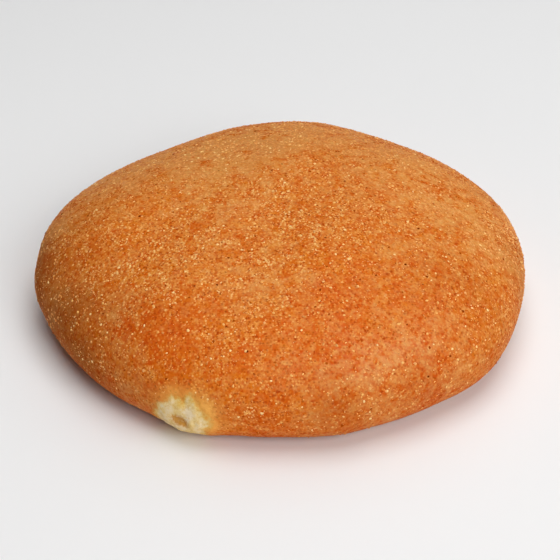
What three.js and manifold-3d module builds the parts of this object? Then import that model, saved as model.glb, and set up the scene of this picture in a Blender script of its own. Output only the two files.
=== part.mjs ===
// A low round loaf of white bread with a browned crust, dusted with coarse semolina.
// One solid, in millimetres, +Z up. The origin is on the flat base, in the middle of the round
// that the outline is drawn about. The torn patch on the side faces -Y.

import * as THREE from "three";
import { ParametricGeometry } from "three/addons/geometries/ParametricGeometry.js";
import { mergeVertices } from "three/addons/utils/BufferGeometryUtils.js";
import Module from "manifold-3d";

const wasm = await Module();
wasm.setup();

// Driving dimensions. Angles are in degrees, anticlockwise from +X as seen from above.
const DIAMETER = 182; // across the widest line of the side, before it is pressed out of round
const HEIGHT = 47; // from the base to the top of the dome
const RIM_HEIGHT = 16; // of the widest line of the side above the base
const BASE_SHARE = 0.84; // of the outline's radius, where the flat base ends
const DOME_POWER = 2.15; // section of the dome: 2 is an ellipse, more has a fuller shoulder
const UNDER_POWER = 2.2; // section of the turn from the side to the base

// Where the loaf is out of round: how far its side moves out and its shoulder is lifted.
const SWELLINGS = [
  { at: 48, halfWidth: 36, out: -2.6, lift: -3.1 }, // flat of the far right side
  { at: 127, halfWidth: 37, out: -5, lift: -5.4 }, // longer flat of the far left side
  { at: 193, halfWidth: 5, out: 0.7, lift: 0 }, // left end
  { at: 213, halfWidth: 14, out: -1.1, lift: 0 }, // flat of the near left side
  { at: 257, halfWidth: 5, out: 0.4, lift: 0 }, // right of the scar
  { at: 282, halfWidth: 6, out: 1, lift: 0 }, // near side
  { at: 319, halfWidth: 11, out: 1.8, lift: 0 }, // near right side
  { at: 350, halfWidth: 18, out: -1.2, lift: 0 }, // flat of the right end
];
const FOLD = { at: 249.5, halfWidth: 6, out: 4, fullBelow: 8, noneAbove: 20 }; // hangs out under the scar

// Low waves in the top of the crust: length from crest to crest, height and direction of travel.
const CRUST_WAVES = [
  { length: 104, height: 0.8, along: 20 },
  { length: 67, height: 0.5, along: 105 },
  { length: 41, height: 0.3, along: 155 },
];

// The scar where a loaf that touched this one was pulled off, which shows torn crumb.
// In it, right is along the side to +X, up is up the side and out is off the crust.
const SCAR_ANGLE = 249;
const SCAR_HEIGHT = 12; // of its middle above the base
const SCAR_OUTLINE = [
  { right: 11.3, up: 0.2 },
  { right: 10.5, up: 2.3 },
  { right: 9, up: 4.3 },
  { right: 7.4, up: 5.8 },
  { right: 4.8, up: 8.4 },
  { right: 3.3, up: 9.3 },
  { right: 1.9, up: 8.5 },
  { right: 0.6, up: 6.8 },
  { right: -1.5, up: 7.5 },
  { right: -3.3, up: 7.4 },
  { right: -4.2, up: 5.9 },
  { right: -6.3, up: 3.9 },
  { right: -8.7, up: 2.7 },
  { right: -9.8, up: -1 },
  { right: -11.5, up: -6.5 },
  { right: -9, up: -10.8 },
  { right: -2, up: -11.4 },
  { right: 7, up: -10.4 },
  { right: 9.3, up: -3.9 },
];
const SCAR_DEPTH = 0.8; // of its floor under the crust
const SCAR_SHALLOWEST = 0.1; // under the crust, where a lobe stands highest
const SCAR_EDGE = 0.5; // power of the rise to the crust at the edge: less is steeper
const SCAR_CLEARANCE = 4; // how far the cut starts off the crust
const SCAR_SHAPES = [
  { right: -5.5, up: 0.4, wide: 4, tall: 4.6, lean: 20, out: 0.6 }, // left lobe
  { right: -2.6, up: 5.8, wide: 1.7, tall: 2, lean: 0, out: 0.4 }, // knob above it
  { right: 5.6, up: 4.5, wide: 2.2, tall: 6, lean: 34, out: 0.7 }, // right lobe, which slants
  { right: 0.5, up: 6.4, wide: 1.2, tall: 2.4, lean: 10, out: -0.5 }, // crease between the lobes
  { right: 0.9, up: 3.5, wide: 2.6, tall: 1, lean: -30, out: 0.4 }, // ridge under the crease
  { right: 3.9, up: -0.8, wide: 0.9, tall: 3.2, lean: 8, out: 0.6 }, // rib beside the hollow
  { right: -1.2, up: -1.2, wide: 3.4, tall: 2.1, lean: 0, out: -1.4 }, // hollow
  { right: 2, up: -2.4, wide: 1.2, tall: 1.9, lean: 5, out: -0.7 }, // its steep right side
  { right: 6.3, up: -1.2, wide: 2.2, tall: 2.6, lean: 0, out: 0.5 }, // low lobe
];
const SCAR_PITS = 20; // torn bubbles of the crumb
const PIT_RADIUS = { least: 0.8, most: 1.5 };
const PIT_DEPTH = { least: 0.2, most: 0.5 };

// The largest grains of semolina, which stand on the crust. The finest dust has no shape of its own.
const GRAIN_COUNT = 125;
const GRAIN_SIZE = { least: 1.1, most: 1.6 };
const GRAIN_FLATNESS = { least: 0.6, most: 0.9 }; // of its thickness to its length
const GRAIN_RAISED = 0.1; // of its thickness, from the crust to its middle
const GRAIN_REACH = 0.985; // of the outline's radius, where the dusting ends
const GRAIN_STRAY = 0.08; // of the outline's radius, from its even place
const GRAIN_OFF_SCAR = 14; // least distance of a grain from the scar's middle
const GOLDEN_TURN = Math.PI * (3 - Math.sqrt(5)); // spaces the grains evenly over a round
const SEED = 5;

// Facets.
const SEGMENTS = 108; // round the loaf
const DOME_ROWS = 16;
const UNDER_ROWS = 6;
const SCAR_SPOKES = 57; // three to each corner of its outline
const SCAR_RINGS = 10; // from its middle to its edge
const MERGE_DISTANCE = 1e-4;

const { degToRad, radToDeg, euclideanModulo, lerp, seededRandom, smoothstep } = THREE.MathUtils;

// A seeded draw between a range's least and most.
function drawn({ least, most }) {
  return lerp(least, most, seededRandom());
}

// How much of a swelling shows at an angle in radians: 1 at its middle, dying away past its half width.
function bell(angle, { at, halfWidth }) {
  const away = euclideanModulo(radToDeg(angle) - at + 180, 360) - 180;
  return Math.exp(-((away / halfWidth) ** 2));
}

// The sum of one measure of the swellings at an angle in radians.
function swelling(angle, measure) {
  return SWELLINGS.reduce((sum, place) => sum + place[measure] * bell(angle, place), 0);
}

// How far the fold hangs out at a height and an angle.
function foldOut(height, angle) {
  return FOLD.out * bell(angle, FOLD) * (1 - smoothstep(height, FOLD.fullBelow, FOLD.noneAbove));
}

// How far the waves lift the top of the crust over a place on the base.
function waveLift(x, y) {
  return CRUST_WAVES.reduce((sum, { length, height, along }) => {
    const way = x * Math.cos(degToRad(along)) + y * Math.sin(degToRad(along));
    return sum + height * Math.sin((2 * Math.PI * way) / length);
  }, 0);
}

// The section at a turn from 0, the top of the dome, through 1, the widest line, to 2, the base's edge,
// as a share of the outline's radius and a height.
function sectionPoint(turn) {
  if (turn <= 1) {
    const quarter = (turn * Math.PI) / 2;
    return {
      share: Math.sin(quarter) ** (2 / DOME_POWER),
      height: RIM_HEIGHT + (HEIGHT - RIM_HEIGHT) * Math.max(Math.cos(quarter), 0) ** (2 / DOME_POWER),
    };
  }
  const quarter = ((turn - 1) * Math.PI) / 2;
  return {
    share: BASE_SHARE + (1 - BASE_SHARE) * Math.max(Math.cos(quarter), 0) ** (2 / UNDER_POWER),
    height: RIM_HEIGHT * (1 - Math.sin(quarter) ** (2 / UNDER_POWER)),
  };
}

// The turn of the section at which the dome has a share of the outline's radius.
function domeTurn(share) {
  return (2 / Math.PI) * Math.asin(share ** (DOME_POWER / 2));
}

// The turn of the section at which the side has a height.
function sideTurn(height) {
  const drop = 1 - height / RIM_HEIGHT;
  if (drop >= 0) return 1 + (2 / Math.PI) * Math.asin(drop ** (UNDER_POWER / 2));
  const rise = (height - RIM_HEIGHT) / (HEIGHT - RIM_HEIGHT);
  return (2 / Math.PI) * Math.acos(rise ** (DOME_POWER / 2));
}

// A point of the section at an angle, moved to where the uneven loaf has it.
function unevenPoint(share, height, angle) {
  const radius = share * (DIAMETER / 2 + swelling(angle, "out") + foldOut(height, angle));
  const x = radius * Math.cos(angle);
  const y = radius * Math.sin(angle);
  const lift = waveLift(x, y) + swelling(angle, "lift") * share ** 2;
  return new THREE.Vector3(x, y, height + (lift * height) / HEIGHT);
}

// A point of the crust before the scar is torn in it.
function crustPoint(turn, angle) {
  const { share, height } = sectionPoint(turn);
  return unevenPoint(share, height, angle);
}

// The directions along and off the crust at a point: right, up and out, as seen from outside.
function crustAxes(turn, angle) {
  const step = 0.004;
  const up = crustPoint(turn - step, angle).sub(crustPoint(turn + step, angle)).normalize();
  const right = crustPoint(turn, angle + step).sub(crustPoint(turn, angle - step)).normalize();
  const out = new THREE.Vector3().crossVectors(right, up).normalize();
  up.crossVectors(out, right);
  return new THREE.Matrix4().makeBasis(right, up, out);
}

// A closed geometry as a manifold-3d solid.
function solidOf(geometry) {
  const bare = geometry.clone();
  bare.deleteAttribute("normal");
  bare.deleteAttribute("uv");
  const merged = mergeVertices(bare, MERGE_DISTANCE);
  const corners = merged.index.array;
  const triangles = [];
  for (let i = 0; i < corners.length; i += 3) {
    const [a, b, c] = corners.slice(i, i + 3);
    if (a !== b && b !== c && c !== a) triangles.push(a, b, c);
  }
  return new wasm.Manifold(
    new wasm.Mesh({
      numProp: 3,
      vertProperties: new Float32Array(merged.attributes.position.array),
      triVerts: new Uint32Array(triangles),
    }),
  );
}

// A manifold-3d solid as a geometry.
function geometryOf(solid) {
  const { vertProperties, triVerts } = solid.getMesh();
  const geometry = new THREE.BufferGeometry();
  geometry.setAttribute("position", new THREE.BufferAttribute(vertProperties, 3));
  geometry.setIndex(new THREE.BufferAttribute(triVerts, 1));
  geometry.computeVertexNormals();
  return geometry;
}

// The whole loaf before it is torn: a round turned from its section, then made uneven.
function bareLoaf() {
  const domeTurns = Array.from({ length: DOME_ROWS }, (_, i) => i / DOME_ROWS);
  const underTurns = Array.from({ length: UNDER_ROWS + 1 }, (_, i) => 1 + i / UNDER_ROWS);
  const section = [...domeTurns, ...underTurns].map((turn) => {
    const { share, height } = sectionPoint(turn);
    return new THREE.Vector2(share, height);
  });
  section.push(new THREE.Vector2(0, 0));
  const geometry = new THREE.LatheGeometry(section.reverse(), SEGMENTS);
  geometry.rotateX(Math.PI / 2);
  const places = geometry.attributes.position;
  for (let i = 0; i < places.count; i++) {
    const share = Math.hypot(places.getX(i), places.getY(i));
    const angle = Math.atan2(places.getY(i), places.getX(i));
    places.setXYZ(i, ...unevenPoint(share, places.getZ(i), angle));
  }
  return geometry;
}

// A point of the scar's outline, as seen from its middle, at a share of the way round it.
function scarRim(round) {
  const corners = SCAR_OUTLINE.map(({ right, up }) => new THREE.Vector2(right, up));
  const way = (round % 1) * corners.length;
  const corner = corners[Math.floor(way)];
  const next = corners[(Math.floor(way) + 1) % corners.length];
  const sweep = euclideanModulo(next.angle() - corner.angle(), 2 * Math.PI);
  const reach = lerp(corner.length(), next.length(), way % 1);
  return new THREE.Vector2(reach, 0).rotateAround(new THREE.Vector2(), corner.angle() + sweep * (way % 1));
}

// The torn bubbles, scattered over the scar as small dips.
function scarPits() {
  return Array.from({ length: SCAR_PITS }, () => {
    const place = scarRim(seededRandom()).multiplyScalar(Math.sqrt(seededRandom()));
    const radius = drawn(PIT_RADIUS);
    return { right: place.x, up: place.y, wide: radius, tall: radius, lean: 0, out: -drawn(PIT_DEPTH) };
  });
}

// How far the torn crumb lies off the crust at a place in the scar, whose outline it reaches at 1.
function scarRelief(place, reach, shapes) {
  const level = shapes.reduce((sum, shape) => {
    const away = new THREE.Vector2(place.x - shape.right, place.y - shape.up);
    away.rotateAround(new THREE.Vector2(), -degToRad(shape.lean));
    return sum + shape.out * Math.exp(-((away.x / shape.wide) ** 2) - (away.y / shape.tall) ** 2);
  }, -SCAR_DEPTH);
  return Math.min(level, -SCAR_SHALLOWEST) * Math.max(1 - reach ** 2, 0) ** SCAR_EDGE;
}

// The loaf with the scar cut in it, by a lens whose inner side is the torn crumb.
function withScar(loaf) {
  const shapes = [...SCAR_SHAPES, ...scarPits()];
  const lensPoint = (round, through, target) => {
    const reach = Math.sin(Math.PI * through);
    const place = scarRim(round).multiplyScalar(reach);
    const outer = SCAR_CLEARANCE * Math.abs(Math.cos(Math.PI * through));
    const out = through > 0.5 ? outer : scarRelief(place, reach, shapes);
    const turn = sideTurn(SCAR_HEIGHT + place.y);
    const angle = degToRad(SCAR_ANGLE) + place.x / (DIAMETER / 2);
    target.set(0, 0, out).applyMatrix4(crustAxes(turn, angle)).add(crustPoint(turn, angle));
  };
  return loaf.subtract(solidOf(new ParametricGeometry(lensPoint, SCAR_SPOKES, 2 * SCAR_RINGS)));
}

// True over the scar, where no semolina lies.
function onScar(place) {
  const middle = crustPoint(sideTurn(SCAR_HEIGHT), degToRad(SCAR_ANGLE));
  return place.distanceTo(middle) < GRAIN_OFF_SCAR;
}

// One grain: an angular lump, turned at random and set into the crust.
function grain(place, axes) {
  const length = drawn(GRAIN_SIZE);
  const flat = drawn(GRAIN_FLATNESS);
  const geometry = new THREE.IcosahedronGeometry(length / 2, 0);
  geometry.rotateX(seededRandom() * Math.PI);
  geometry.rotateZ(seededRandom() * Math.PI);
  geometry.scale(1, flat, flat);
  geometry.rotateZ(seededRandom() * Math.PI * 2);
  geometry.translate(0, 0, GRAIN_RAISED * length * flat);
  geometry.applyMatrix4(axes.setPosition(place));
  return solidOf(geometry);
}

// The loaf with its grains, spread evenly over the top and shoulder and each a little astray.
function withGrains(loaf) {
  const grains = [];
  for (let i = 0; i < GRAIN_COUNT; i++) {
    const even = Math.sqrt((i + 0.5) / GRAIN_COUNT) * GRAIN_REACH;
    const spot = new THREE.Vector2(even, 0).rotateAround(new THREE.Vector2(), i * GOLDEN_TURN);
    spot.x += (seededRandom() - 0.5) * GRAIN_STRAY;
    spot.y += (seededRandom() - 0.5) * GRAIN_STRAY;
    const turn = domeTurn(Math.min(spot.length(), GRAIN_REACH));
    const place = crustPoint(turn, spot.angle());
    if (!onScar(place)) grains.push(grain(place, crustAxes(turn, spot.angle())));
  }
  return wasm.Manifold.union([loaf, ...grains]);
}

seededRandom(SEED);
const crust = new THREE.MeshStandardMaterial({ color: 0xd67a33, roughness: 0.7, metalness: 0 });
const loaf = new THREE.Mesh(geometryOf(withGrains(withScar(solidOf(bareLoaf())))), crust);
loaf.name = "loaf";

const part = new THREE.Group();
part.add(loaf);
export default part;
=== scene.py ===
"""A low round loaf with a browned crust, dusted with coarse semolina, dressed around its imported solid.

The form is worked out in millimetres, in the solid's frame, and made in metres.
Angles given as values are in degrees, anticlockwise from +X as seen from above.
The angles of points are in radians.
"""

import math

import bpy
import numpy as np
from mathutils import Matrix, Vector, noise


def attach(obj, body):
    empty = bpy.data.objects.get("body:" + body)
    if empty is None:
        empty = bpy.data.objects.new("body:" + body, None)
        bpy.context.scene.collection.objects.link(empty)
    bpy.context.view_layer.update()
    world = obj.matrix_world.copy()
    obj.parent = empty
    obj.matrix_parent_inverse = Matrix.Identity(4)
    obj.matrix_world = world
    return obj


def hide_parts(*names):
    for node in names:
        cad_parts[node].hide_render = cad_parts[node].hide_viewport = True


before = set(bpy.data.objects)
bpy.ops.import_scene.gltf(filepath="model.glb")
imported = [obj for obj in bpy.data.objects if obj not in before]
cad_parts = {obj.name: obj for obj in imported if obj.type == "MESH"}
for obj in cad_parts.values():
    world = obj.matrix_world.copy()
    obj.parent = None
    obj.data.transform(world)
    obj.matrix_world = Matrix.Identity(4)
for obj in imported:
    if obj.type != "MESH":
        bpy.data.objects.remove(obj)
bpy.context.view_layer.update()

MM = 0.001

# Form of the loaf, as in the solid
DIAMETER = 182
HEIGHT = 47
RIM_HEIGHT = 16
BASE_SHARE = 0.84
DOME_POWER = 2.15
UNDER_POWER = 2.2
SWELLINGS = [
    {"at": 48, "half_width": 36, "out": -2.6, "lift": -3.1},
    {"at": 127, "half_width": 37, "out": -5, "lift": -5.4},
    {"at": 193, "half_width": 5, "out": 0.7, "lift": 0},
    {"at": 213, "half_width": 14, "out": -1.1, "lift": 0},
    {"at": 257, "half_width": 5, "out": 0.4, "lift": 0},
    {"at": 282, "half_width": 6, "out": 1, "lift": 0},
    {"at": 319, "half_width": 11, "out": 1.8, "lift": 0},
    {"at": 350, "half_width": 18, "out": -1.2, "lift": 0},
]
FOLD = {"at": 249.5, "half_width": 6, "out": 4, "full_below": 8, "none_above": 20}  # hangs out under the scar
CRUST_WAVES = [
    {"length": 104, "height": 0.8, "along": 20},
    {"length": 67, "height": 0.5, "along": 105},
    {"length": 41, "height": 0.3, "along": 155},
]

# Torn scar on the side, as in the solid: right is along the side, up is up it and out is off the crust
SCAR_ANGLE = 249
SCAR_HEIGHT = 12
SCAR_OUTLINE = [
    (11.3, 0.2), (10.5, 2.3), (9, 4.3), (7.4, 5.8), (4.8, 8.4), (3.3, 9.3), (1.9, 8.5),
    (0.6, 6.8), (-1.5, 7.5), (-3.3, 7.4), (-4.2, 5.9), (-6.3, 3.9), (-8.7, 2.7), (-9.8, -1),
    (-11.5, -6.5), (-9, -10.8), (-2, -11.4), (7, -10.4), (9.3, -3.9),
]
SCAR_DEPTH = 0.8
SCAR_SHALLOWEST = 0.1
SCAR_EDGE = 0.5
SCAR_SHAPES = [
    {"right": -5.5, "up": 0.4, "wide": 4, "tall": 4.6, "lean": 20, "out": 0.6},
    {"right": -2.6, "up": 5.8, "wide": 1.7, "tall": 2, "lean": 0, "out": 0.4},
    {"right": 5.6, "up": 4.5, "wide": 2.2, "tall": 6, "lean": 34, "out": 0.7},
    {"right": 0.5, "up": 6.4, "wide": 1.2, "tall": 2.4, "lean": 10, "out": -0.5},
    {"right": 0.9, "up": 3.5, "wide": 2.6, "tall": 1, "lean": -30, "out": 0.4},
    {"right": 3.9, "up": -0.8, "wide": 0.9, "tall": 3.2, "lean": 8, "out": 0.6},
    {"right": -1.2, "up": -1.2, "wide": 3.4, "tall": 2.1, "lean": 0, "out": -1.4},
    {"right": 2, "up": -2.4, "wide": 1.2, "tall": 1.9, "lean": 5, "out": -0.7},
    {"right": 6.3, "up": -1.2, "wide": 2.2, "tall": 2.6, "lean": 0, "out": 0.5},
]
SCAR_SOFT = (0.9, 1.05)  # reaches between which the relief of the crumb gives way to the crust's
SCAR_CLEAR = (1.0, 1.3)  # reaches between which the dusting thickens from none
FAR_OUT = 3  # reach past which the crust is as it is everywhere

# Where the torn crumb is more golden or paler, with painted light on the rib beside the hollow and painted
# shade on its lower part, and where the crust round it is golden
SCAR_TONES_AND_SHADING = [
    {"right": 0.3, "up": 5.8, "wide": 1.5, "tall": 2.4, "more": 0.5},
    # painted light: paler on the rib beside the hollow, where shadow falls on it
    {"right": 3.3, "up": 1.2, "wide": 0.9, "tall": 1.7, "more": -0.5},
    {"right": 1.7, "up": 3.6, "wide": 1.2, "tall": 1, "more": -0.3},
    {"right": -5, "up": 3, "wide": 2, "tall": 1.5, "more": -0.2},
    {"right": 3.5, "up": 7, "wide": 1.5, "tall": 1.5, "more": 0.1},
    {"right": 8.7, "up": 2.1, "wide": 1.5, "tall": 2, "more": 0.2},
    # painted shade: more golden on the rib's lower part
    {"right": 4, "up": -1, "wide": 1.1, "tall": 1.2, "more": 0.28},
]
BORDER_LEVEL = 0.14
BORDER_PATCHES = [
    {"right": 9.5, "up": 6.5, "wide": 4, "tall": 3.5, "more": 0.7},
    {"right": 10.8, "up": -1, "wide": 2.6, "tall": 5, "more": 0.6},
    {"right": -1, "up": 9, "wide": 7, "tall": 3, "more": 0.42},
    {"right": -6, "up": 5.5, "wide": 3.5, "tall": 2.5, "more": 0.32},
]

# Fine relief of the crust and of the torn crumb: size of its lumps and how far they stand out
CRUST_RELIEF = [
    {"size": 24, "out": 0.3, "octaves": 1, "seed": 1},
    {"size": 7, "out": 0.1, "octaves": 2, "seed": 2},
    {"size": 2.2, "out": 0.06, "octaves": 2, "seed": 3},
]
CRUMB_RELIEF = [
    {"size": 2.8, "out": 0.3, "octaves": 2, "seed": 4},
    {"size": 1.3, "out": 0.18, "octaves": 2, "seed": 7},
]
SEEDS_APART = (31.7, 17.3, 7.9)  # how far one seed's noise lies from the next one's, in lumps
RESTING_HEIGHTS = (0, 2)  # between which the relief grows from none, so that the base stays flat

# Where the grains, the haze (in a few patches painted light), the brown (partly painted shade) and the deeper
# red lie on the plan: a level, patches and clumps
DUST_LEVEL = 0.28
DUST_PATCHES = [
    {"x": -4, "y": -34, "radius": 34, "more": 0.26},
    {"x": -46, "y": -40, "radius": 24, "more": 0.02},
    {"x": -84, "y": -10, "radius": 10, "more": 0.3},
    {"x": 84, "y": -12, "radius": 16, "more": 0.4},
    {"x": 31, "y": -87, "radius": 8, "more": 0.25},
    {"x": -42, "y": -76, "radius": 20, "more": -0.1},
    {"x": 20, "y": -76, "radius": 32, "more": -0.22},
    {"x": 36, "y": -54, "radius": 22, "more": -0.1},
    {"x": 0, "y": 46, "radius": 30, "more": -0.02},
    {"x": 64, "y": 8, "radius": 26, "more": 0.1},
    {"x": -58, "y": 36, "radius": 24, "more": 0.06},
]
DUST_CLUMPS = [
    {"size": 26, "by": 0.5, "seed": 11},
    {"size": 5, "by": 1.1, "seed": 12},
]
HAZE_LEVEL = 0.22
HAZE_AND_LIGHT_PATCHES = [
    {"x": -17, "y": 32, "radius": 16, "more": 1.2},
    {"x": 4, "y": 47, "radius": 34, "more": 0.45},
    {"x": 60, "y": 12, "radius": 26, "more": 0.54},
    {"x": 84, "y": -20, "radius": 10, "more": 0.42},
    {"x": -85, "y": -4, "radius": 9, "more": 0.6},
    {"x": -40, "y": -69, "radius": 18, "more": -0.34},
    {"x": -24, "y": -56, "radius": 20, "more": 0.12},
    # painted sheen: this paler patch on the near side partly paints the sheen there
    {"x": 28, "y": -77, "radius": 15, "more": 0.27},
    {"x": 16, "y": -60, "radius": 13, "more": -0.22},
    {"x": -56, "y": 34, "radius": 26, "more": 0.5},
    {"x": -16, "y": -8, "radius": 24, "more": 0.16},
    {"x": 55, "y": -68, "radius": 9, "more": 0.26},
    {"x": 4, "y": 28, "radius": 12, "more": -0.2},
    {"x": -10, "y": -73, "radius": 10, "more": -0.12},
    {"x": 44, "y": -28, "radius": 12, "more": 0.18},
    {"x": 3, "y": -51, "radius": 9, "more": 0.38},
    {"x": 15, "y": -80, "radius": 7, "more": 0.2},
    {"x": 28, "y": -70, "radius": 7, "more": -0.12},
    {"x": 43, "y": -75, "radius": 6, "more": 0.1},
    {"x": 20, "y": -12, "radius": 16, "more": -0.07},
    {"x": -39, "y": -28, "radius": 13, "more": -0.07},
    {"x": -83, "y": -42, "radius": 8, "more": 0.3},
    {"x": 43, "y": -40, "radius": 8, "more": 0.1},
    {"x": 73, "y": -27, "radius": 9, "more": 0.14},
    {"x": 46, "y": 2, "radius": 8, "more": -0.12},
    {"x": -27, "y": -8, "radius": 9, "more": 0.1},
    {"x": -55, "y": 0, "radius": 9, "more": 0.12},
    {"x": 47, "y": -88, "radius": 10, "more": -0.08},
    {"x": 20, "y": -94, "radius": 8, "more": -0.05},
    {"x": -52, "y": -54, "radius": 10, "more": 0.2},
    # painted light: paler at the lower left edge beside the scar, where the loaf is shaded
    {"x": -50, "y": -77, "radius": 8, "more": 0.45},
]
HAZE_CLUMPS = [
    {"size": 18, "by": 0.7, "seed": 13},
    {"size": 4, "by": 1.0, "seed": 14},
]
BROWN_AND_SHADE_LEVEL = 0
# Brown laid on the crust: browning, and painted shade on the left rim and along the near lower edge, which
# turn from the light
BROWN_AND_SHADE_PATCHES = [
    {"x": -94, "y": -29, "radius": 22, "more": 1.12},
    {"x": -92, "y": -2, "radius": 10, "more": 0.42},
    {"x": -70, "y": -60, "radius": 15, "more": 0.64},
    {"x": -72, "y": -48, "radius": 10, "more": 0.26},
    {"x": 91, "y": -18, "radius": 17, "more": 0.45},
    {"x": 52, "y": -92, "radius": 15, "more": 0.48},
    {"x": 22, "y": -97, "radius": 12, "more": 0.5},
    {"x": 84, "y": 26, "radius": 14, "more": 0.3},
    {"x": 64, "y": -50, "radius": 20, "more": 0.27},
    {"x": 38, "y": -98, "radius": 10, "more": 0.1},
    {"x": 6, "y": 52, "radius": 42, "more": 0.07},
    {"x": -50, "y": 28, "radius": 26, "more": 0.06},
    {"x": -46, "y": -68, "radius": 14, "more": 0.1},
]
BROWN_AND_SHADE_CLUMPS = [
    {"size": 14, "by": 0.4, "seed": 15},
]
DEEP_LEVEL = 0
DEEP_PATCHES = [
    {"x": 16, "y": -62, "radius": 12, "more": 0.3},
    {"x": -36, "y": -74, "radius": 14, "more": 0.34},
    {"x": -50, "y": -66, "radius": 12, "more": 0.36},
    {"x": 48, "y": -84, "radius": 14, "more": 0.85},
    {"x": 57, "y": -76, "radius": 8, "more": 0.5},
    {"x": -5, "y": -92, "radius": 14, "more": 0.35},
    {"x": 24, "y": -93, "radius": 13, "more": 0.7},
]
DEEP_CLUMPS = [
    {"size": 12, "by": 0.5, "seed": 16},
]
DUST_FADES = (2, 17)  # heights between which the grains thicken from none
UNDER_FADES = (0, 9)  # heights between which the colour of the base gives way to the crust's

# Grains: their counts, the share that haze hides, and the range of haze that those in it come up over
GRAIN_KINDS = {
    "semolina_pale": {
        "coarse": 1900,
        "fine": 5400,
        "share_hidden": 0.92,
        "in_haze": 1200,
        "haze_range": (0.75, 1.0),
        "seed": 21,
    },
    "semolina_toasted": {
        "coarse": 2700,
        "fine": 5400,
        "share_hidden": 0.1,
        "in_haze": 4400,
        "haze_range": (0.3, 0.75),
        "seed": 22,
    },
}
HAZE_HIDES = (0.3, 0.75)  # thicknesses of the haze between which it comes to hide grains and bran
IN_HAZE_TONE = 0.6  # the least tone of the grains in the haze, where 0 is the darkest and 1 the palest
TRIES_EACH = 4  # places tried for each grain that is wanted

# Sizes of the grains, with their width and thickness as shares of their length
COARSE_LENGTH = (0.65, 1.25)
FINE_LENGTH = (0.35, 0.65)
GRAIN_WIDTH = (0.6, 0.95)
GRAIN_THICKNESS = (0.4, 0.65)
GRAIN_SUNK = 0.08  # of its thickness, from its middle up to the crust
GRAIN_JITTER = 0.16  # how uneven its corners are, of its size
MOSTLY_SMALL = 1.6  # power that leans the lengths towards the shorter ones

# Specks of bran
BRAN_COUNT = 400
BRAN_HIDDEN = 0.8  # share that the haze hides
BRAN_LENGTH = (0.6, 1.2)
BRAN_EVEN = 0.15  # share that lies evenly, wherever the dust is thicker than the least
BRAN_LEAST_DUST = 0.1
BRAN_CLEAR = 1.6  # reach of the scar within which there is none
BRAN_SEED = 23

# Fineness of the meshes and their places on the texture map
SECTION_STEPS = 4000
GRID = 288  # squares along each side of the sheet that wraps the top and side
BASE_RINGS = 6
MAP_NAME = "OFBake"
SHEET_OF_MAP = 0.84  # of the texture map's height, the rest of which is the base's
MAP_MARGIN = 0.005
TONE_MARGIN = 0.02  # kept clear round the grains' tones
TONE_SPOT = 0.004  # half the size of the triangle that each face of a grain has

# Colours as they look on a screen, from 0 to 255, and ramps that give each colour's place first
CRUST_RAMP = [
    (0.0, (205, 77, 0)),
    (0.35, (214, 97, 4)),
    (0.65, (221, 116, 12)),
    (1.0, (228, 140, 30)),
]
RED_LUMP_RAMP = [
    (0.0, (164, 48, 0)),
    (0.25, (204, 70, 4)),
    (1.0, (217, 88, 14)),
]
# Its darkest stops are burnt grains, and painted shade in the gaps between grains
PACKED_GRAIN_RAMP = [
    (0.0, (150, 46, 0)),
    (0.12, (186, 70, 2)),
    (0.35, (212, 98, 12)),
    (0.6, (226, 138, 50)),
    (0.8, (243, 171, 84)),
    (1.0, (255, 215, 138)),
]
CRUMB_RAMP = [
    (0.0, (242, 219, 180)),
    (0.3, (238, 208, 148)),
    (0.65, (232, 192, 108)),
    (1.0, (230, 164, 70)),
]
PALE_RAMP = [
    (0.0, (238, 166, 78)),
    (0.6, (248, 194, 108)),
    (1.0, (255, 226, 158)),
]
TOASTED_RAMP = [
    (0.0, (206, 113, 40)),
    (0.5, (224, 142, 65)),
    (1.0, (238, 174, 101)),
]
BRAN_RAMP = [
    (0.0, (110, 34, 0)),
    (0.3, (158, 64, 6)),
    (1.0, (192, 94, 20)),
]
FLOOR_RAMP = [
    (0.0, (243, 243, 243)),
    (1.0, (246, 246, 246)),
]
HAZE_COLOUR = (231, 175, 98)
BROWN_AND_SHADE_COLOUR = (140, 64, 16)
UNDER_COLOUR = (176, 88, 28)
BORDER_COLOUR = (255, 190, 94)
HOLLOW_AND_SHADE_COLOUR = (206, 138, 48)

# Ranges that the values of a shader's noise are taken over, and past which they are held
NOISE_WIDE = (0.25, 0.75)
NOISE_MOST = (0.3, 0.7)
NOISE_MIDDLE = (0.35, 0.65)
NOISE_LOWER = (0.35, 0.6)

# Camera, fitted to the photograph's outline
CAMERA_ELEVATION = 35
CAMERA_DISTANCE = 500
CAMERA_LENS = 85
CAMERA_SENSOR = 36
CAMERA_AIM = (-0.7, 0, 5.7)

# Lamps, with their distance and sizes in metres and their powers in watts
LAMP_DISTANCE = 1.4
LAMPS = [
    {"name": "near_right", "angle": -55, "elevation": 35, "size": 0.9, "power": 10.8, "shows_in": "diffuse"},
    {"name": "near_left", "angle": -120, "elevation": 10, "size": 0.8, "power": 0.8, "shows_in": "diffuse"},
    {"name": "far_right", "angle": 70, "elevation": 50, "size": 1.2, "power": 3.9, "shows_in": "diffuse"},
    {"name": "overhead", "angle": 0, "elevation": 88, "size": 1.2, "power": 10.3, "shows_in": "diffuse"},
    {"name": "sheen", "angle": -35, "elevation": 55, "size": 0.8, "power": 34, "shows_in": "glossy"},
]
SKY_STRENGTH = 0.04
FLOOR_REACH = 30 * DIAMETER


# Form

def smooth_step(low, high, value):
    """0 below low, 1 above high and an even curve between."""
    share = np.clip((value - low) / (high - low), 0, 1)
    return share * share * (3 - 2 * share)


def bell(angle, place):
    """How much of a swelling shows at angles in radians: 1 at its middle, dying away past its half width."""
    away = (np.degrees(angle) - place["at"] + 180) % 360 - 180
    return np.exp(-((away / place["half_width"]) ** 2))


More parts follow.
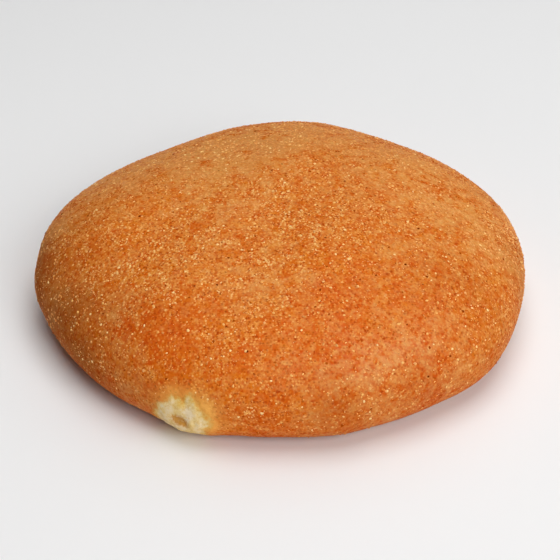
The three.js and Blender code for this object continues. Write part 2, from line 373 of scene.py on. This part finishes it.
def wave_lift(x, y):
    """How far the low waves lift the crust over places on the plan."""
    total = np.zeros_like(x)
    for wave in CRUST_WAVES:
        along = math.radians(wave["along"])
        way = x * math.cos(along) + y * math.sin(along)
        total += wave["height"] * np.sin(2 * math.pi * way / wave["length"])
    return total


def section_point(turn):
    """The section's share of the radius, and its height, by turn: 0 is the top, 1 the rim and 2 the base."""
    dome = np.clip(turn, 0, 1) * math.pi / 2
    under = np.clip(turn - 1, 0, 1) * math.pi / 2
    dome_share = np.sin(dome) ** (2 / DOME_POWER)
    dome_height = RIM_HEIGHT + (HEIGHT - RIM_HEIGHT) * np.maximum(np.cos(dome), 0) ** (2 / DOME_POWER)
    under_share = BASE_SHARE + (1 - BASE_SHARE) * np.maximum(np.cos(under), 0) ** (2 / UNDER_POWER)
    under_height = RIM_HEIGHT * (1 - np.sin(under) ** (2 / UNDER_POWER))
    on_dome = turn <= 1
    return np.where(on_dome, dome_share, under_share), np.where(on_dome, dome_height, under_height)


def crust_point(turn, angle):
    """Points of the crust before its fine relief and scar."""
    share, height = section_point(turn)
    out = FOLD["out"] * bell(angle, FOLD) * (1 - smooth_step(FOLD["full_below"], FOLD["none_above"], height))
    lift = np.zeros_like(share)
    for place in SWELLINGS:
        out += place["out"] * bell(angle, place)
        lift += place["lift"] * bell(angle, place) * share**2
    radius = share * (DIAMETER / 2 + out)
    x = radius * np.cos(angle)
    y = radius * np.sin(angle)
    lift += wave_lift(x, y)
    return np.stack([x, y, height + lift * height / HEIGHT], axis=-1)


def crust_normal(turn, angle):
    """Directions off the crust."""
    step = 0.004
    turn = np.clip(turn, 4 * step, 2 - step)
    down = crust_point(turn + step, angle) - crust_point(turn - step, angle)
    onward = crust_point(turn, angle + step) - crust_point(turn, angle - step)
    normal = np.cross(down, onward)
    return normal / np.linalg.norm(normal, axis=-1, keepdims=True)


def wander(points, size, seed, octaves=1):
    """Smooth noise of about -1 to 1 at points, with lumps of a size."""
    apart = Vector([seed * way for way in SEEDS_APART])
    return np.array([noise.fractal(Vector(p) / size + apart, 1, 2, octaves) for p in points])


def scar_places(turn, angle):
    """Where points lie on the scar, and their reach: how far out of it, with 1 on its outline."""
    away = (np.degrees(angle) - SCAR_ANGLE + 180) % 360 - 180
    right = np.radians(away) * DIAMETER / 2
    up = section_point(turn)[1] - SCAR_HEIGHT
    edge = np.array(SCAR_OUTLINE)
    edge_angle = np.degrees(np.arctan2(edge[:, 1], edge[:, 0]))
    edge_radius = np.hypot(edge[:, 0], edge[:, 1])
    outline = np.interp(np.degrees(np.arctan2(up, right)), edge_angle, edge_radius, period=360)
    return right, up, np.hypot(right, up) / outline


def scar_relief(right, up, reach):
    """How far the torn crumb lies off the crust."""
    level = np.full_like(right, -SCAR_DEPTH)
    for shape in SCAR_SHAPES:
        lean = math.radians(shape["lean"])
        across = (right - shape["right"]) * math.cos(lean) + (up - shape["up"]) * math.sin(lean)
        along = (up - shape["up"]) * math.cos(lean) - (right - shape["right"]) * math.sin(lean)
        level += shape["out"] * np.exp(-((across / shape["wide"]) ** 2) - (along / shape["tall"]) ** 2)
    return np.minimum(level, -SCAR_SHALLOWEST) * np.maximum(1 - reach**2, 0) ** SCAR_EDGE


def scar_patches(right, up, patches):
    """How strongly something shows about the scar, as the sum of its soft patches."""
    total = np.zeros_like(right)
    for patch in patches:
        across = (right - patch["right"]) / patch["wide"]
        along = (up - patch["up"]) / patch["tall"]
        total += patch["more"] * np.exp(-(across**2) - along**2)
    return total


def relief_of(point, parts):
    """How far the lumps of some relief stand out at points."""
    return sum(part["out"] * wander(point, part["size"], part["seed"], part["octaves"]) for part in parts)


def thickness(point, level, patches, clumps):
    """How thickly something lies, from 0 to 1: a level, with patches of more or less, in clumps."""
    total = np.full(len(point), float(level))
    for patch in patches:
        away = np.hypot(point[:, 0] - patch["x"], point[:, 1] - patch["y"]) / patch["radius"]
        total += patch["more"] * np.exp(-(away**2))
    clump = np.ones(len(point))
    for part in clumps:
        clump += part["by"] * wander(point, part["size"], part["seed"], 2)
    return np.clip(total * clump, 0, 1)


def crust_surface(turn, angle):
    """The finished crust at points: their places, the directions off it, and the measures that colour it."""
    point = crust_point(turn, angle)
    normal = crust_normal(turn, angle)
    height = section_point(turn)[1]
    right, up, reach = scar_places(turn, angle)
    torn = 1 - smooth_step(*SCAR_SOFT, reach)
    relief = relief_of(point, CRUST_RELIEF) * (1 - torn) + relief_of(point, CRUMB_RELIEF) * torn
    depth = scar_relief(right, up, reach)
    place = point + normal * (relief * smooth_step(*RESTING_HEIGHTS, height) + depth)[:, None]
    clear = smooth_step(*SCAR_CLEAR, reach)
    dust = thickness(point, DUST_LEVEL, DUST_PATCHES, DUST_CLUMPS)
    measures = {
        "reach": np.minimum(reach, FAR_OUT),
        # How deep the crumb lies in the hollow, which browns it, partly as painted shade in the recess
        "hollow_and_shade": np.clip((-depth - SCAR_DEPTH) / SCAR_DEPTH, 0, 1),
        "dust": dust * smooth_step(*DUST_FADES, height) * clear,
        "haze": thickness(point, HAZE_LEVEL, HAZE_AND_LIGHT_PATCHES, HAZE_CLUMPS),
        "border": BORDER_LEVEL + scar_patches(right, up, BORDER_PATCHES),
        "golden_and_shading": scar_patches(right, up, SCAR_TONES_AND_SHADING),
        "deep": thickness(point, DEEP_LEVEL, DEEP_PATCHES, DEEP_CLUMPS),
        "brown_and_shade": thickness(point, BROWN_AND_SHADE_LEVEL, BROWN_AND_SHADE_PATCHES, BROWN_AND_SHADE_CLUMPS),
        "under": 1 - smooth_step(*UNDER_FADES, height),
    }
    return place, normal, measures


def turns_by_area():
    """The share of the top and side's area above each turn of the section, and those turns."""
    turns = np.linspace(0, 2, SECTION_STEPS + 1)
    share, height = section_point(turns)
    stretch = np.hypot(np.diff(share * DIAMETER / 2), np.diff(height))
    area = np.concatenate([[0], np.cumsum(stretch * (share[1:] + share[:-1]))])
    return area / area[-1], turns


# Meshes

def make_object(name, places, faces, material):
    """A mesh object of places in millimetres."""
    mesh = bpy.data.meshes.new(name)
    mesh.from_pydata((places * MM).tolist(), [], faces)
    mesh.materials.append(material)
    made = bpy.data.objects.new(name, mesh)
    bpy.context.scene.collection.objects.link(made)
    return made


def set_map(mesh, corners):
    """Gives a mesh its texture map, from each face corner's place on it."""
    layer = mesh.uv_layers.new(name=MAP_NAME)
    layer.data.foreach_set("uv", np.asarray(corners, dtype=np.float32).ravel())


def sheet_on_disc():
    """A square sheet wrapped on a disc with even areas: its points' radii, angles and places on the sheet."""
    steps = np.linspace(-1, 1, GRID + 1)
    a, b = np.meshgrid(steps, steps, indexing="ij")
    wide = np.abs(a) > np.abs(b)
    across = np.where(wide, a, b)
    other = np.where(wide, b, a)
    slant = math.pi / 4 * np.divide(other, across, out=np.zeros_like(a), where=across != 0)
    turned = np.where(wide, slant, math.pi / 2 - slant) + np.where(across < 0, math.pi, 0)
    on_sheet = np.stack([(a + 1) / 2, (b + 1) / 2], axis=-1)
    return np.abs(across).ravel(), turned.ravel(), on_sheet.reshape(-1, 2)


def sheet_faces():
    """The squares of the sheet, as the numbers of their points, and the points round its edge in order."""
    index = np.arange((GRID + 1) ** 2).reshape(GRID + 1, GRID + 1)
    squares = np.stack([index[:-1, :-1], index[1:, :-1], index[1:, 1:], index[:-1, 1:]], axis=-1)
    rim = np.concatenate([index[:-1, 0], index[-1, :-1], index[:0:-1, -1], index[0, :0:-1]])
    return squares.reshape(-1, 4), rim


def close_base(places, rim, rim_angle):
    """Rings that close the flat base within its rim: all the places, the new faces and their map corners."""
    count = len(rim)
    rings = [rim]
    shares = [1.0]
    for step in range(1, BASE_RINGS):
        share = 1 - step / BASE_RINGS
        rings.append(len(places) + np.arange(count))
        shares.append(share)
        places = np.concatenate([places, places[rim] * (share, share, 0)])
    middle = len(places)
    places = np.concatenate([places, np.zeros((1, 3))])
    map_middle = np.array([0.5, (1 + SHEET_OF_MAP) / 2])
    map_size = np.array([0.5, (1 - SHEET_OF_MAP) / 2]) - MAP_MARGIN

    def on_map(share, spot):
        turned = rim_angle[spot]
        return map_middle + map_size * share * np.array([math.cos(turned), math.sin(turned)])

    faces, corners = [], []
    for ring, share, inner, inner_share in zip(rings, shares, rings[1:], shares[1:]):
        for spot in range(count):
            onward = (spot + 1) % count
            faces.append([int(ring[spot]), int(inner[spot]), int(inner[onward]), int(ring[onward])])
            corners += [on_map(share, spot), on_map(inner_share, spot)]
            corners += [on_map(inner_share, onward), on_map(share, onward)]
    for spot in range(count):
        onward = (spot + 1) % count
        faces.append([int(rings[-1][spot]), middle, int(rings[-1][onward])])
        corners += [on_map(shares[-1], spot), map_middle, on_map(shares[-1], onward)]
    return places, faces, corners


def make_loaf(material):
    """The crust: one sheet over the top and side, closed by rings on the flat base."""
    radius, angle, on_sheet = sheet_on_disc()
    area, turns = turns_by_area()
    places, _, measures = crust_surface(np.interp(radius**2, area, turns), angle)
    squares, rim = sheet_faces()
    sheet_corners = on_sheet[squares.ravel()] * (1, SHEET_OF_MAP)
    places, base_faces, base_corners = close_base(places, rim, angle[rim])
    made = make_object("loaf_crust", places, squares.tolist() + base_faces, material)
    set_map(made.data, np.concatenate([sheet_corners, base_corners]))
    for name, values in measures.items():
        on_base = np.full(len(places) - len(values), 1.0 if name == "under" else 0.0)
        layer = made.data.attributes.new(name, "FLOAT", "POINT")
        layer.data.foreach_set("value", np.concatenate([values, on_base]).astype(np.float32))
    made.data.shade_smooth()
    return made


def octahedron():
    """A ball of 6 corners, 1 across."""
    points = np.concatenate([np.eye(3), -np.eye(3)]) / 2
    faces = [(0, 1, 2), (1, 3, 2), (3, 4, 2), (4, 0, 2), (1, 0, 5), (3, 1, 5), (4, 3, 5), (0, 4, 5)]
    return points, np.array(faces)


def icosahedron():
    """A ball of 12 corners, 1 across."""
    level = math.atan(0.5)
    turns = np.radians(72) * np.arange(5)
    points = [(0, 0, 1)]
    for start, side in ((0, 1), (math.radians(36), -1)):
        points += [(math.cos(t + start), math.sin(t + start), side * math.tan(level)) for t in turns]
    points = np.array(points + [(0, 0, -1)])
    points[1:-1] *= math.cos(level)
    faces = []
    for i in range(5):
        onward = (i + 1) % 5
        faces += [(0, 1 + i, 1 + onward), (1 + i, 6 + i, 1 + onward)]
        faces += [(1 + onward, 6 + i, 6 + onward), (6 + i, 11, 6 + onward)]
    return points / 2, np.array(faces)


def lumps(draw, ball, places, normals, lengths):
    """Angular lumps set on the crust, each an uneven ball: their points, faces and number of faces each."""
    shape, shape_faces = ball
    count = len(places)
    points = shape + draw.uniform(-GRAIN_JITTER, GRAIN_JITTER, (count, len(shape), 3)) / 2
    width = draw.uniform(*GRAIN_WIDTH, count)
    thick = draw.uniform(*GRAIN_THICKNESS, count)
    points = points * (lengths[:, None] * np.stack([np.ones(count), width, thick], axis=-1))[:, None]
    points[:, :, 2] -= (GRAIN_SUNK * thick * lengths)[:, None]
    along = np.cross(normals, draw.normal(size=(count, 3)))
    along /= np.linalg.norm(along, axis=-1, keepdims=True)
    axes = np.stack([along, np.cross(normals, along), normals], axis=1)
    points = np.einsum("nki,nij->nkj", points, axes) + places[:, None]
    faces = shape_faces + (np.arange(count) * len(shape))[:, None, None]
    return points.reshape(-1, 3), faces.reshape(-1, 3), len(shape_faces)


def scattered_places(draw, count, chance):
    """Places drawn evenly over the top and side outside the scar, each kept by a chance from its measures."""
    area, turns = turns_by_area()
    tried = count * TRIES_EACH
    turn = np.interp(draw.random(tried), area, turns)
    angle = draw.random(tried) * 2 * math.pi
    place, normal, measures = crust_surface(turn, angle)
    kept = np.flatnonzero(draw.random(tried) < chance(measures) * (measures["reach"] > 1))[:count]
    return place[kept], normal[kept]


def tone_corners(tones):
    """A small triangle on the map for each face, at its grain's tone."""
    triangle = np.array([[-1, -1], [1, -1], [0, 1]])
    return (TONE_MARGIN + (1 - 2 * TONE_MARGIN) * tones)[:, None] + TONE_SPOT * triangle


def make_grains(name, kind, material):
    """One kind of semolina: coarse grains, fine ones and those in the haze, as one mesh with their tones."""
    draw = np.random.default_rng(kind["seed"])

    def hazy(measures):
        return smooth_step(*kind["haze_range"], measures["haze"]) * (1 - measures["under"])

    def dusted(measures):
        return measures["dust"] * (1 - kind["share_hidden"] * smooth_step(*HAZE_HIDES, measures["haze"]))

    points, faces, tones = [], [], []
    for ball, count, lengths, chance, least_tone in (
        (icosahedron(), kind["coarse"], COARSE_LENGTH, dusted, 0.0),
        (octahedron(), kind["fine"], FINE_LENGTH, dusted, 0.0),
        (icosahedron(), kind["in_haze"], COARSE_LENGTH, hazy, IN_HAZE_TONE),
    ):
        places, normals = scattered_places(draw, count, chance)
        length = lengths[0] + (lengths[1] - lengths[0]) * draw.random(len(places)) ** MOSTLY_SMALL
        made_points, made_faces, sides = lumps(draw, ball, places, normals, length)
        faces.append(made_faces + sum(len(p) for p in points))
        points.append(made_points)
        tones.append(np.repeat(draw.uniform(least_tone, 1, (len(places), 2)), sides, axis=0))
    made = make_object(name, np.concatenate(points), np.concatenate(faces).tolist(), material)
    set_map(made.data, tone_corners(np.concatenate(tones)))
    return made


def make_bran(material):
    """Dark specks of bran, set in the crust as the grains are."""
    draw = np.random.default_rng(BRAN_SEED)

    def dusted(measures):
        seen = 1 - BRAN_HIDDEN * smooth_step(*HAZE_HIDES, measures["haze"])
        dust = measures["dust"]
        lying = (1 - BRAN_EVEN) * dust + BRAN_EVEN * (dust > BRAN_LEAST_DUST)
        return lying * seen * (measures["reach"] > BRAN_CLEAR)

    places, normals = scattered_places(draw, BRAN_COUNT, dusted)
    length = draw.uniform(*BRAN_LENGTH, len(places))
    points, faces, sides = lumps(draw, icosahedron(), places, normals, length)
    made = make_object("bran_specks", points, faces.tolist(), material)
    set_map(made.data, tone_corners(np.repeat(draw.random((len(places), 2)), sides, axis=0)))
    return made


# Materials

def colour(red, green, blue):
    """A colour given as it looks on a screen, from 0 to 255, in linear light."""
    def linear(level):
        level = level / 255
        return level / 12.92 if level <= 0.04045 else ((level + 0.055) / 1.055) ** 2.4
    return (linear(red), linear(green), linear(blue), 1.0)


class Shader:
    """A material's nodes, with sizes in millimetres."""

    def __init__(self, name):
        self.material = bpy.data.materials.new(name)
        self.material.use_nodes = True
        self.tree = self.material.node_tree
        self.surface = self.tree.nodes["Principled BSDF"]
        self.place = self.tree.nodes.new("ShaderNodeTexCoord").outputs["Object"]

    def put(self, node, inputs):
        """Sets a node's inputs to values, or links them."""
        for name, value in inputs.items():
            if isinstance(value, bpy.types.NodeSocket):
                self.tree.links.new(value, node.inputs[name])
            else:
                node.inputs[name].default_value = value

    def add(self, kind, inputs=None, **settings):
        """A node of a kind, with its settings and its inputs."""
        node = self.tree.nodes.new(kind)
        for name, value in settings.items():
            setattr(node, name, value)
        self.put(node, inputs or {})
        return node

    def attribute(self, name):
        """A measure that the mesh holds at its points."""
        return self.add("ShaderNodeAttribute", attribute_name=name).outputs["Fac"]

    def noise(self, size, detail=2, rough=0.5):
        """Smooth noise with lumps of a size."""
        settings = {"Vector": self.place, "Scale": 1 / (size * MM), "Detail": detail, "Roughness": rough}
        return self.add("ShaderNodeTexNoise", settings).outputs["Fac"]

    def span(self, value, low, high, to_low=0.0, to_high=1.0):
        """A value from low to high, spread from to_low to to_high and held there."""
        settings = {"Value": value, "From Min": low, "From Max": high, "To Min": to_low, "To Max": to_high}
        return self.add("ShaderNodeMapRange", settings).outputs["Result"]

    def uneven(self, size, low, high, detail=2, rough=0.5, within=NOISE_MOST):
        """Smooth noise with lumps of a size, spread from low to high over a range of its values."""
        return self.span(self.noise(size, detail, rough), *within, low, high)

    def math(self, operation, first, second):
        """The sum, product or other outcome of two values."""
        return self.add("ShaderNodeMath", {0: first, 1: second}, operation=operation).outputs["Value"]

    def total(self, *values):
        """The sum of some values."""
        result = values[0]
        for value in values[1:]:
            result = self.math("ADD", result, value)
        return result

    def product(self, *values):
        """The product of some values."""
        result = values[0]
        for value in values[1:]:
            result = self.math("MULTIPLY", result, value)
        return result

    def ramp(self, value, stops):
        """Colours in between the stops, by a value."""
        node = self.add("ShaderNodeValToRGB", {"Fac": value})
        points = node.color_ramp.elements
        while len(points) < len(stops):
            points.new(1.0)
        for point, (position, shade) in zip(points, stops):
            point.position = position
            point.color = colour(*shade)
        return node.outputs["Color"]

    def blend(self, share, under, over):
        """One colour laid over another by a share."""
        settings = {0: share, 6: under, 7: over}
        return self.add("ShaderNodeMix", settings, data_type="RGBA").outputs[2]

    def cells(self, size, edge, middle):
        """Packed lumps of a size: 1 in their middles and 0 at their edges, with two random tones for each."""
        lump = self.add("ShaderNodeTexVoronoi", {"Vector": self.place, "Scale": 1 / (size * MM)})
        tones = self.add("ShaderNodeSeparateColor", {"Color": lump.outputs["Color"]})
        return self.span(lump.outputs["Distance"], edge, middle), tones.outputs[0], tones.outputs[1]

    def finish(self, inputs, height=None, bump=0.0, bump_depth=0.1):
        """Sets or links the surface's own inputs, and where given the height that bumps it."""
        self.put(self.surface, inputs)
        if height is not None:
            settings = {"Strength": bump, "Distance": bump_depth * MM, "Height": height}
            node = self.add("ShaderNodeBump", settings)
            self.put(self.surface, {"Normal": node.outputs["Normal"]})
        return self.material


def crust_shade(shader):
    """The crust's own colour, browned unevenly with red lumps, and how much those lumps show."""
    broad = shader.uneven(10, -0.12, 0.12, detail=3)
    mottle = shader.uneven(3.6, 0.68, 0.32, detail=3, rough=0.6)
    fine = shader.uneven(1.1, 0.16, -0.16, rough=0.6)
    deep = shader.product(shader.attribute("deep"), -0.5)
    shade = shader.ramp(shader.total(mottle, broad, fine, deep), CRUST_RAMP)
    lump, rarity, tone = shader.cells(1.4, 0.7, 0.2)
    seen = shader.span(shader.attribute("haze"), 0.3, 0.7, 0.8, 0.25)
    red = shader.product(lump, shader.math("LESS_THAN", rarity, 0.4), seen)
    return shader.blend(red, shade, shader.ramp(tone, RED_LUMP_RAMP)), red


def under_haze(shader, shade, red):
    """The crust under a haze of the finest semolina, thin on the crust's red lumps; in a few patches the haze
    is painted light and sheen.
    """
    haze = shader.attribute("haze")
    cloudy = shader.uneven(2.4, -0.17, 0.17, detail=3, rough=0.6, within=NOISE_MIDDLE)
    lump, _, paleness = shader.cells(1.5, 0.8, 0.3)
    clump = shader.product(lump, shader.span(paleness, 0.0, 1.0, -0.24, 0.24))
    calm = shader.span(haze, 0.35, 0.8, 1.0, 0.7)
    cloud = shader.product(shader.total(cloudy, clump), calm)
    thinned = shader.product(red, -0.18)
    flour = shader.uneven(1.0, 0.5, 1.0, rough=0.6, within=NOISE_MIDDLE)
    film = shader.product(haze, shader.span(haze, 0.6, 1.0, 1.0, 0.75))
    cover = shader.total(shader.product(film, flour), cloud, thinned)
    return shader.blend(shader.math("MAXIMUM", cover, 0.0), shade, colour(*HAZE_COLOUR))


def under_grains(shader, shade):
    """The crust under packed grains, how high they stand and how much of it is dark ones: burnt grains, and
    painted shade in the gaps between grains.
    """
    dust = shader.attribute("dust")
    middle, _, tone = shader.cells(0.74, 0.75, 0.3)
    pale = shader.product(tone, shader.span(dust, 0.0, 0.8, 0.7, 1.2))
    clear = shader.span(shader.attribute("haze"), 0.25, 0.65, 1.0, 0.35)
    thick = shader.product(shader.span(dust, 0.0, 0.6, 0.5, 0.9), clear)
    # Painted shade: dark cells, also standing for shade between the packed grains
    burnt_and_gap_shade = shader.product(shader.span(pale, 0.1, 0.28, 0.6, 0.0), clear, clear, clear)
    cover = shader.product(middle, shader.math("MAXIMUM", thick, burnt_and_gap_shade))
    shade = shader.blend(cover, shade, shader.ramp(pale, PACKED_GRAIN_RAMP))
    return shade, shader.product(middle, thick, pale), shader.product(middle, burnt_and_gap_shade)


def crumb_shade(shader, reach):
    """Torn crumb: cream, golden in patches and towards its edge, with painted light and shade on the rib
    beside its hollow, and brown in its hollow, darker the deeper as painted shade.
    """
    cloudy = shader.uneven(2.2, -0.35, 0.35, detail=4, rough=0.7)
    edge = shader.span(reach, 0.75, 1.0, 0.0, 0.6)
    cream = shader.ramp(shader.total(cloudy, edge, shader.attribute("golden_and_shading"), 0.3), CRUMB_RAMP)
    rough = shader.uneven(1.1, -0.42, 0.42, detail=3, rough=0.7)
    # Painted shade: the crumb browns the deeper it lies in the hollow
    hollow_and_shade = shader.span(shader.total(shader.attribute("hollow_and_shade"), rough), 0.1, 0.9, 0.0, 0.85)
    return shader.blend(hollow_and_shade, cream, colour(*HOLLOW_AND_SHADE_COLOUR))


def crust_material():
    """Browned crust under its dusting, with brown and painted shade laid over it in patches, brown below,
    golden round the scar and crumb in it.
    """
    shader = Shader("crust")
    haze = shader.attribute("haze")
    brown_and_shade = shader.attribute("brown_and_shade")
    shade, red = crust_shade(shader)
    shade, grains, burnt_and_gap_shade = under_grains(shader, under_haze(shader, shade, red))
    # Painted shade: brown laid over the crust, most of it on the left rim
    shade = shader.blend(shader.product(brown_and_shade, 0.7), shade, colour(*BROWN_AND_SHADE_COLOUR))
    shade = shader.blend(shader.product(shader.attribute("under"), 0.5), shade, colour(*UNDER_COLOUR))

    ragged = shader.uneven(2.4, -0.14, 0.14, detail=4, rough=0.65, within=NOISE_WIDE)
    reach = shader.total(shader.attribute("reach"), ragged)
    around = shader.product(shader.span(reach, 1.15, 1.8, 1.0, 0.0), shader.attribute("border"))
    patchy = shader.uneven(2, 0.65, 1.0, detail=3, rough=0.6, within=NOISE_LOWER)
    shade = shader.blend(shader.product(around, patchy), shade, colour(*BORDER_COLOUR))
    torn = shader.span(reach, 0.84, 1.1, 1.0, 0.0)
    shade = shader.blend(torn, shade, crumb_shade(shader, reach))

    satin = shader.uneven(1.2, 0.42, 0.56, detail=3)
    dry = shader.total(shader.product(red, 0.5), shader.product(brown_and_shade, 0.4))
    roughness = shader.total(satin, dry, burnt_and_gap_shade)
    crumbly = shader.product(torn, shader.noise(1.5, 4, 0.7), 3.0)
    pitted = shader.product(shader.noise(0.9, 3, 0.6), shader.span(haze, 0.3, 0.7, 1.0, 0.45))
    height = shader.total(grains, pitted, crumbly)
    inputs = {"Base Color": shade, "Roughness": roughness, "Specular IOR Level": 0.08}
    return shader.finish(inputs, height, bump=0.5, bump_depth=0.2)


def grain_material(name, specular, stops):
    """Grains whose tone is read from their place on the map."""
    shader = Shader(name)
    on_map = shader.add("ShaderNodeUVMap", uv_map=MAP_NAME).outputs["UV"]
    tone = shader.add("ShaderNodeSeparateXYZ", {"Vector": on_map}).outputs["X"]
    roughness = shader.uneven(0.4, 0.45, 0.65)
    inputs = {"Base Color": shader.ramp(tone, stops), "Roughness": roughness, "Specular IOR Level": specular}
    return shader.finish(inputs, shader.noise(0.2), bump=0.3, bump_depth=0.05)


# Stage

def make_floor():
    """A pale floor under the loaf."""
    shader = Shader("floor")
    corners = [(-1, -1, 0), (1, -1, 0), (1, 1, 0), (-1, 1, 0)]
    shade = shader.ramp(shader.noise(400), FLOOR_RAMP)
    material = shader.finish({"Base Color": shade, "Roughness": 0.9, "Specular IOR Level": 0.1})
    return make_object("floor", FLOOR_REACH * np.array(corners), [[0, 1, 2, 3]], material)


def make_camera():
    """The camera, at the photograph's angle."""
    data = bpy.data.cameras.new("camera")
    data.lens = CAMERA_LENS
    data.sensor_width = CAMERA_SENSOR
    camera = bpy.data.objects.new("camera", data)
    raised = math.radians(CAMERA_ELEVATION)
    back = Vector((0, -math.cos(raised), math.sin(raised)))
    camera.location = (Vector(CAMERA_AIM) + back * CAMERA_DISTANCE) * MM
    camera.rotation_euler = (-back).to_track_quat("-Z", "Y").to_euler()
    bpy.context.scene.collection.objects.link(camera)
    bpy.context.scene.camera = camera


def make_lamp(name, angle, elevation, size, power, shows_in):
    """A broad soft lamp that faces the loaf, from an angle on the plan and an elevation above the floor."""
    data = bpy.data.lights.new(name, "AREA")
    data.shape = "DISK"
    data.size = size
    data.energy = power
    lamp = bpy.data.objects.new(name, data)
    turned = math.radians(angle)
    raised = math.radians(elevation)
    level = math.cos(raised)
    away = Vector((level * math.cos(turned), level * math.sin(turned), math.sin(raised)))
    lamp.location = away * LAMP_DISTANCE
    lamp.rotation_euler = (-away).to_track_quat("-Z", "Y").to_euler()
    lamp.visible_diffuse = shows_in == "diffuse"
    lamp.visible_glossy = shows_in == "glossy"
    bpy.context.scene.collection.objects.link(lamp)


def make_sky(strength):
    """Even light from all round."""
    sky = bpy.data.worlds.new("sky")
    sky.use_nodes = True
    sky.node_tree.nodes["Background"].inputs["Color"].default_value = (1, 1, 1, 1)
    sky.node_tree.nodes["Background"].inputs["Strength"].default_value = strength
    bpy.context.scene.world = sky


# The loaf

pale = grain_material("semolina", 0.3, PALE_RAMP)
toasted = grain_material("toasted_semolina", 0.15, TOASTED_RAMP)
dark = grain_material("bran", 0.0, BRAN_RAMP)

loaf = make_loaf(crust_material())
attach(loaf, "root")
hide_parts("loaf")

semolina = make_grains("semolina_pale", GRAIN_KINDS["semolina_pale"], pale)
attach(semolina, "root")

toasted_semolina = make_grains("semolina_toasted", GRAIN_KINDS["semolina_toasted"], toasted)
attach(toasted_semolina, "root")

bran = make_bran(dark)
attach(bran, "root")

floor = make_floor()
make_camera()
for lamp in LAMPS:
    make_lamp(**lamp)
make_sky(SKY_STRENGTH)
bpy.context.scene.view_settings.view_transform = "Standard"
